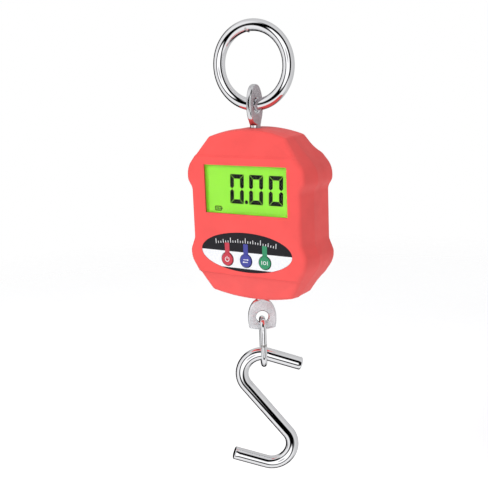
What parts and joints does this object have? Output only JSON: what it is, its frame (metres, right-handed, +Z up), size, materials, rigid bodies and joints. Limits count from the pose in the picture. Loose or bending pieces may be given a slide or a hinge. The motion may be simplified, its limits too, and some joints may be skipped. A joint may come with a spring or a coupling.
{
  "type": "digital fish scale",
  "caption": "Handheld digital hanging scale: ring, swivel eyes, eared case with display and keys, wire link and S-hook.",
  "frame": {"origin": "inside crown of the hanging ring, where a support bears; the load hangs straight below on the Z axis", "axes": "+Z up, the display faces -Y, +X to the right seen from the front"},
  "size_m": [0.0848, 0.0331, 0.2775],
  "materials": {
    "chrome_wire": "mirror chrome plating",
    "forged_eye": "matt grained flat faces, bright edges",
    "zinc_fastener": "zinc plated",
    "red_shell": "satin moulded",
    "clear_window": "clear polished acrylic",
    "lcd_glass": "lit reflective display",
    "light_guide": "frosted",
    "contact_rubber": "striped elastomer",
    "printed_panel": "printed film",
    "red_key": "satin",
    "blue_key": "satin",
    "green_key": "satin",
    "board_laminate": "solder resist",
    "black_component": "moulded epoxy",
    "cell_aluminium": "milled",
    "gauge_foil": "etched foil",
    "battery_jacket": "wrapped steel can",
    "contact_metal": "nickel plated spring steel",
    "lead_sleeve": "insulated wire"
  },
  "bodies": {
    "ring": {"hanging_ring": "chrome_wire"},
    "upper_eye": {"upper_eye_bolt": "forged_eye", "upper_lock_nut": "zinc_fastener"},
    "lower_eye": {"lower_eye_bolt": "forged_eye", "lower_lock_nut": "zinc_fastener"},
    "link": {"connecting_link": "chrome_wire"},
    "hook": {"s_hook": "chrome_wire"},
    "power_key": {"power_button": "red_key"},
    "unit_key": {"unit_button": "blue_key"},
    "tare_key": {"tare_button": "green_key"},
    "cover": {"battery_cover": "red_shell"},
    "case": {"upper_thrust_washer": "zinc_fastener", "lower_thrust_washer": "zinc_fastener", "case_screws": "zinc_fastener", "board_screws": "zinc_fastener", "load_cell_screws": "zinc_fastener", "front_shell": "red_shell", "rear_shell": "red_shell", "window_lens": "clear_window", "lcd_panel": "lcd_glass", "lcd_backlight": "light_guide", "lcd_frame": "light_guide", "lcd_contact_strip": "contact_rubber", "control_panel": "printed_panel", "circuit_board": "board_laminate", "tact_switches": "black_component", "control_chip": "black_component", "gauge_amplifier": "black_component", "buzzer": "black_component", "load_cell": "cell_aluminium", "strain_gauges": "gauge_foil", "left_battery": "battery_jacket", "right_battery": "battery_jacket", "battery_plates": "contact_metal", "battery_springs": "contact_metal", "load_cell_leads": "lead_sleeve", "battery_leads": "lead_sleeve"}
  },
  "joints": [
    {"name": "ring_swing", "type": "hinge", "parent": "ring", "child": "upper_eye", "pos_m": [0, 0, -0.0415], "axis": [0.9981, 0.061, 0], "range_deg": [-120, 120]},
    {"name": "upper_swivel", "type": "hinge", "parent": "upper_eye", "child": "case", "pos_m": [0, 0, -0.0546], "axis": [0, 0, 1], "continuous": true},
    {"name": "lower_swivel", "type": "hinge", "parent": "case", "child": "lower_eye", "pos_m": [0, 0, -0.1562], "axis": [0, 0, 1], "continuous": true},
    {"name": "link_swing", "type": "hinge", "parent": "lower_eye", "child": "link", "pos_m": [0, 0, -0.1712], "axis": [0.5736, -0.8192, 0], "range_deg": [-80, 80]},
    {"name": "hook_swing", "type": "hinge", "parent": "link", "child": "hook", "pos_m": [0, 0, -0.19358], "axis": [0.815, 0.5707, -0.1], "range_deg": [-90, 90]},
    {"name": "power_press", "type": "slide", "parent": "case", "child": "power_key", "axis": [0, 1, 0], "range_m": [0, 0.0005], "stiffness_N_per_m": 800},
    {"name": "unit_press", "type": "slide", "parent": "case", "child": "unit_key", "axis": [0, 1, 0], "range_m": [0, 0.0005], "stiffness_N_per_m": 800},
    {"name": "tare_press", "type": "slide", "parent": "case", "child": "tare_key", "axis": [0, 1, 0], "range_m": [0, 0.0005], "stiffness_N_per_m": 800},
    {"name": "cover_slide", "type": "slide", "parent": "case", "child": "cover", "axis": [0, 0, -1], "range_m": [0, 0.008]}
  ]
}
